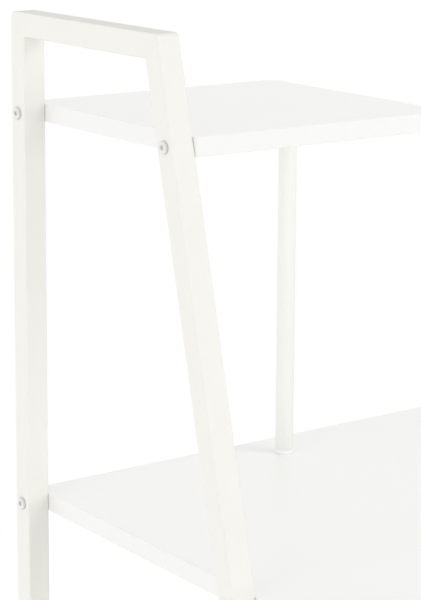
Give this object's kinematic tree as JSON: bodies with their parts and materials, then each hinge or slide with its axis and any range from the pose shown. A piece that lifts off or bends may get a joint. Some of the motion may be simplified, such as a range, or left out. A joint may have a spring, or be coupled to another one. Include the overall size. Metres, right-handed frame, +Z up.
{
  "type": "ladder desk",
  "caption": "Writing desk with a tall leaning tube frame at one end, a small shelf above the desktop, two shelves below it, round posts and a low tube frame at the other end.",
  "frame": {"origin": "on the floor, at the middle of the desk's width and of its depth", "axes": "+X to the right as the user sits, +Y to the rear, +Z up"},
  "size_m": [1.0244, 0.5, 1.17],
  "materials": {
    "frame_powder_coat": "warm white semi-gloss powder coat with a very fine orange peel",
    "post_powder_coat": "white semi-gloss powder coat",
    "board_melamine": "particle board faced with smooth satin white melamine",
    "board_edging": "satin white edge band",
    "screw_steel": "zinc-plated, semi-bright",
    "zinc_insert": "plain zinc",
    "cap_plastic": "moulded white, satin",
    "glide_plastic": "moulded off-white, matt"
  },
  "bodies": {
    "root": {"left_upright": "frame_powder_coat", "left_top_bar": "frame_powder_coat", "left_leg": "frame_powder_coat", "right_upright": "frame_powder_coat", "right_top_bar": "frame_powder_coat", "right_leg": "frame_powder_coat", "right_foot_rung": "frame_powder_coat", "rear_stretcher": "frame_powder_coat", "upper_post": "post_powder_coat", "middle_post_rear": "post_powder_coat", "middle_post_front": "post_powder_coat", "lower_post_rear": "post_powder_coat", "lower_post_front": "post_powder_coat", "foot_post_rear": "post_powder_coat", "foot_post_front": "post_powder_coat", "desktop": "board_melamine", "upper_shelf": "board_melamine", "middle_shelf": "board_melamine", "bottom_shelf": "board_melamine", "desktop_edging": "board_edging", "upper_shelf_edging": "board_edging", "middle_shelf_edging": "board_edging", "bottom_shelf_edging": "board_edging", "ladder_screws": "screw_steel", "stretcher_screws": "screw_steel", "desktop_screws": "screw_steel", "board_insert_nuts": "zinc_insert", "desktop_insert_nuts": "zinc_insert", "post_insert_nuts": "zinc_insert", "post_studs": "zinc_insert", "stretcher_end_nuts": "zinc_insert", "post_caps": "cap_plastic", "upright_glides": "glide_plastic", "leg_glides": "glide_plastic", "post_glides": "glide_plastic"}
  },
  "joints": []
}
